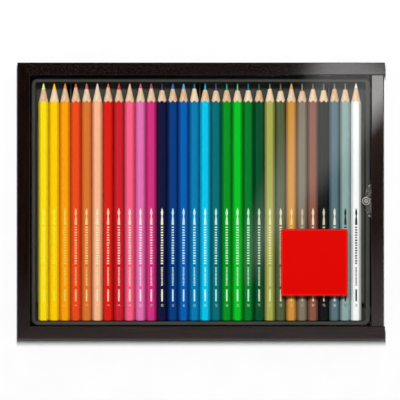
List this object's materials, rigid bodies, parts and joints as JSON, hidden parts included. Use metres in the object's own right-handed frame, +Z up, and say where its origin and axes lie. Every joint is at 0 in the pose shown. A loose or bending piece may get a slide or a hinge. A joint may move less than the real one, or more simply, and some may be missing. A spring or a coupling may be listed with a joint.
{
  "type": "pencil drawer box",
  "caption": "Shallow dark wooden case with a clear top and a side-opening drawer that holds coloured pencils in a ribbed tray.",
  "frame": {"origin": "middle of the case's underside, on the table", "axes": "+X to the end where the drawer comes out, +Y to the back, where the pencils point, +Z up"},
  "size_m": [0.271, 0.2038, 0.027],
  "materials": {
    "stained_wood": "dark brown-black stain under a satin varnish, open straight grain along each rail",
    "plain_wood": "bare hardwood, glued in the mitres",
    "stained_panel": "thin stained board, satin",
    "clear_sheet": "clear colourless sheet, polished, with sharp soft-box reflections",
    "red_label": "flat red printed self-adhesive paper",
    "grey_moulding": "dark grey moulded plastic, finely textured, matt",
    "nickel": "dull nickel plate",
    "steel": "bright turned steel",
    "pencil_01_paint": "gloss lacquer over wood, bare wood and a lead of the same colour at the point",
    "pencil_02_paint": "gloss lacquer over wood, bare wood and a lead of the same colour at the point",
    "pencil_03_paint": "gloss lacquer over wood, bare wood and a lead of the same colour at the point",
    "pencil_04_paint": "gloss lacquer over wood, bare wood and a lead of the same colour at the point",
    "pencil_05_paint": "gloss lacquer over wood, bare wood and a lead of the same colour at the point",
    "pencil_06_paint": "gloss lacquer over wood, bare wood and a lead of the same colour at the point",
    "pencil_07_paint": "gloss lacquer over wood, bare wood and a lead of the same colour at the point",
    "pencil_08_paint": "gloss lacquer over wood, bare wood and a lead of the same colour at the point",
    "pencil_09_paint": "gloss lacquer over wood, bare wood and a lead of the same colour at the point",
    "pencil_10_paint": "gloss lacquer over wood, bare wood and a lead of the same colour at the point",
    "pencil_11_paint": "gloss lacquer over wood, bare wood and a lead of the same colour at the point",
    "pencil_12_paint": "gloss lacquer over wood, bare wood and a lead of the same colour at the point",
    "pencil_13_paint": "gloss lacquer over wood, bare wood and a lead of the same colour at the point",
    "pencil_14_paint": "gloss lacquer over wood, bare wood and a lead of the same colour at the point",
    "pencil_15_paint": "gloss lacquer over wood, bare wood and a lead of the same colour at the point",
    "pencil_16_paint": "gloss lacquer over wood, bare wood and a lead of the same colour at the point",
    "pencil_17_paint": "gloss lacquer over wood, bare wood and a lead of the same colour at the point",
    "pencil_18_paint": "gloss lacquer over wood, bare wood and a lead of the same colour at the point",
    "pencil_19_paint": "gloss lacquer over wood, bare wood and a lead of the same colour at the point",
    "pencil_20_paint": "gloss lacquer over wood, bare wood and a lead of the same colour at the point",
    "pencil_21_paint": "gloss lacquer over wood, bare wood and a lead of the same colour at the point",
    "pencil_22_paint": "gloss lacquer over wood, bare wood and a lead of the same colour at the point",
    "pencil_23_paint": "gloss lacquer over wood, bare wood and a lead of the same colour at the point",
    "pencil_24_paint": "gloss lacquer over wood, bare wood and a lead of the same colour at the point",
    "pencil_25_paint": "gloss lacquer over wood, bare wood and a lead of the same colour at the point",
    "pencil_26_paint": "gloss lacquer over wood, bare wood and a lead of the same colour at the point",
    "pencil_27_paint": "gloss lacquer over wood, bare wood and a lead of the same colour at the point",
    "pencil_28_paint": "gloss lacquer over wood, bare wood and a lead of the same colour at the point",
    "pencil_29_paint": "gloss lacquer over wood, bare wood and a lead of the same colour at the point",
    "pencil_30_paint": "gloss lacquer over wood, bare wood and a lead of the same colour at the point"
  },
  "bodies": {
    "case": {"left_rail": "stained_wood", "back_rail": "stained_wood", "front_rail": "stained_wood", "mitre_splines": "plain_wood", "base_panel": "stained_panel", "window_pane": "clear_sheet", "square_label": "red_label"},
    "drawer": {"drawer_front": "stained_wood", "front_screws": "steel", "tray": "grey_moulding", "pencil_bed": "grey_moulding", "tie_plate": "nickel", "tie_screw": "steel", "tie_pins": "steel", "pencil_01": "pencil_01_paint", "pencil_02": "pencil_02_paint", "pencil_03": "pencil_03_paint", "pencil_04": "pencil_04_paint", "pencil_05": "pencil_05_paint", "pencil_06": "pencil_06_paint", "pencil_07": "pencil_07_paint", "pencil_08": "pencil_08_paint", "pencil_09": "pencil_09_paint", "pencil_10": "pencil_10_paint", "pencil_11": "pencil_11_paint", "pencil_12": "pencil_12_paint", "pencil_13": "pencil_13_paint", "pencil_14": "pencil_14_paint", "pencil_15": "pencil_15_paint", "pencil_16": "pencil_16_paint", "pencil_17": "pencil_17_paint", "pencil_18": "pencil_18_paint", "pencil_19": "pencil_19_paint", "pencil_20": "pencil_20_paint", "pencil_21": "pencil_21_paint", "pencil_22": "pencil_22_paint", "pencil_23": "pencil_23_paint", "pencil_24": "pencil_24_paint", "pencil_25": "pencil_25_paint", "pencil_26": "pencil_26_paint", "pencil_27": "pencil_27_paint", "pencil_28": "pencil_28_paint", "pencil_29": "pencil_29_paint", "pencil_30": "pencil_30_paint"}
  },
  "joints": [
    {"name": "drawer_slide", "type": "slide", "parent": "case", "child": "drawer", "axis": [1, 0, 0], "range_m": [0, 0.2]}
  ]
}
